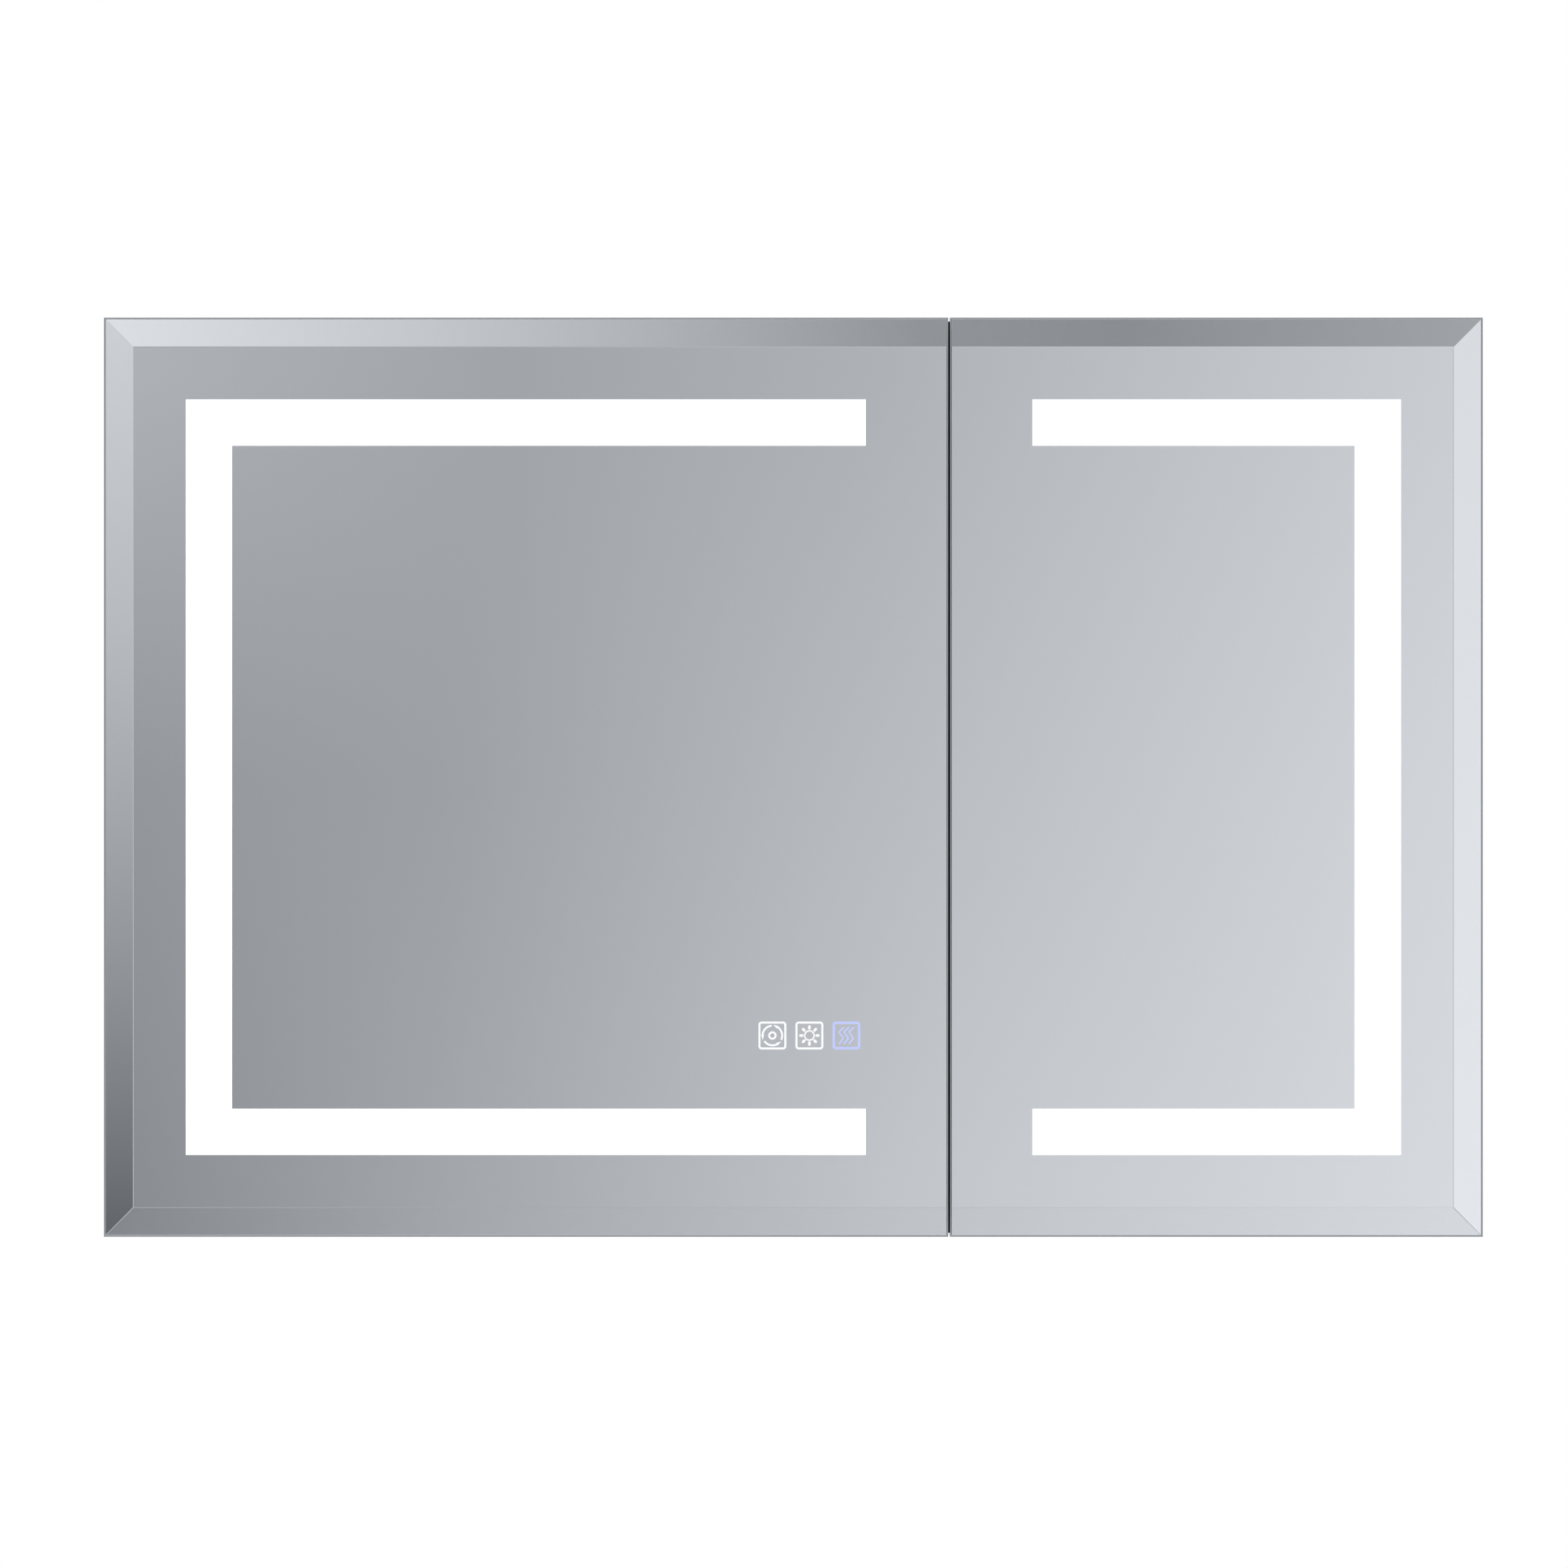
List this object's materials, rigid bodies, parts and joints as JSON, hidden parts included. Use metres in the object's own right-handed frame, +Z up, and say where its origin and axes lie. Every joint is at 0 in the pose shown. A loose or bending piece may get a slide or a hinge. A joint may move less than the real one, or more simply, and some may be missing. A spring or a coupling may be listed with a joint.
{
  "type": "medicine cabinet with mirror",
  "caption": "Wall-hung medicine cabinet with a wide and a narrow bevelled mirror door, lit bands, touch icons, glass shelves and hidden side hinges.",
  "frame": {"origin": "on the wall plane, in the middle of the four wall screw holes, which is the middle of the cabinet's back", "axes": "+X to the right as the user sees it, +Y into the wall, +Z up; the doors face -Y"},
  "size_m": [0.9144, 0.127, 0.6096],
  "materials": {
    "body_aluminium": "satin anodised extrusion",
    "back_sheet": "light grey powder coat",
    "black_strip": "matt black",
    "zinc_steel": "zinc plated",
    "key_nylon": "matt black nylon",
    "shelf_glass": "clear float glass with polished edges",
    "pin_chrome": "polished",
    "hinge_steel": "nickel plated",
    "catch_plastic": "matt light grey",
    "strike_steel": "nickel plated",
    "box_plastic": "matt white",
    "driver_case": "matt off-white",
    "gland_nylon": "matt black nylon",
    "plain_mirror": "polished, copper-free silver mirror",
    "bumper_rubber": "soft dark grey",
    "door_aluminium": "satin anodised extrusion",
    "tray_aluminium": "light grey powder coat",
    "mirror_glass": "polished, bevelled on three edges",
    "silvering": "silver coating behind the glass",
    "opal_light": "opal, lit white",
    "led_board": "white circuit board",
    "heater_film": "polyester film with printed heating tracks",
    "circuit_board": "green solder mask",
    "icon_white": "back-lit white",
    "icon_blue": "back-lit pale blue"
  },
  "bodies": {
    "cabinet": {"back_panel": "back_sheet", "back_panel_screws": "zinc_steel", "bottom_panel": "body_aluminium", "cabinet_rails": "zinc_steel", "cable_gland": "gland_nylon", "catch_magnets": "catch_plastic", "centre_divider": "body_aluminium", "corner_key_screws": "zinc_steel", "corner_keys": "key_nylon", "divider_gap_strip": "black_strip", "hinge_arm_screws": "hinge_steel", "led_driver": "driver_case", "left_back_mirror": "plain_mirror", "left_hinge_arms": "hinge_steel", "left_panel": "body_aluminium", "left_shelves": "shelf_glass", "rail_rivets": "zinc_steel", "right_back_mirror": "plain_mirror", "right_hinge_arms": "hinge_steel", "right_panel": "body_aluminium", "right_shelves": "shelf_glass", "shelf_pins": "pin_chrome", "top_panel": "body_aluminium", "wall_rails": "zinc_steel", "wiring_box": "box_plastic", "wiring_box_cover": "box_plastic"},
    "left_door": {"left_catch_strike": "strike_steel", "left_door_back_tray": "tray_aluminium", "left_door_bottom_rail": "door_aluminium", "left_door_bumpers": "bumper_rubber", "left_door_hinge_stile": "door_aluminium", "left_door_meeting_stile": "door_aluminium", "left_door_top_rail": "door_aluminium", "left_hinge_housings": "hinge_steel", "left_hinge_pins": "pin_chrome", "left_inner_mirror": "plain_mirror", "left_led_strips": "led_board", "left_light_diffuser": "opal_light", "left_mirror_glass": "mirror_glass", "left_mirror_silvering": "silvering", "defogger_pad": "heater_film", "touch_board": "circuit_board", "touch_icon_colour": "icon_white", "touch_icon_light": "icon_white", "touch_icon_defog": "icon_blue"},
    "right_door": {"right_catch_strike": "strike_steel", "right_door_back_tray": "tray_aluminium", "right_door_bottom_rail": "door_aluminium", "right_door_bumpers": "bumper_rubber", "right_door_hinge_stile": "door_aluminium", "right_door_meeting_stile": "door_aluminium", "right_door_top_rail": "door_aluminium", "right_hinge_housings": "hinge_steel", "right_hinge_pins": "pin_chrome", "right_inner_mirror": "plain_mirror", "right_led_strips": "led_board", "right_light_diffuser": "opal_light", "right_mirror_glass": "mirror_glass", "right_mirror_silvering": "silvering"}
  },
  "joints": [
    {"name": "left_door_hinge", "type": "hinge", "parent": "cabinet", "child": "left_door", "pos_m": [-0.4507, -0.11, 0], "axis": [0, 0, -1], "range_deg": [0, 105]},
    {"name": "right_door_hinge", "type": "hinge", "parent": "cabinet", "child": "right_door", "pos_m": [0.4507, -0.11, 0], "axis": [0, 0, 1], "range_deg": [0, 105]}
  ]
}
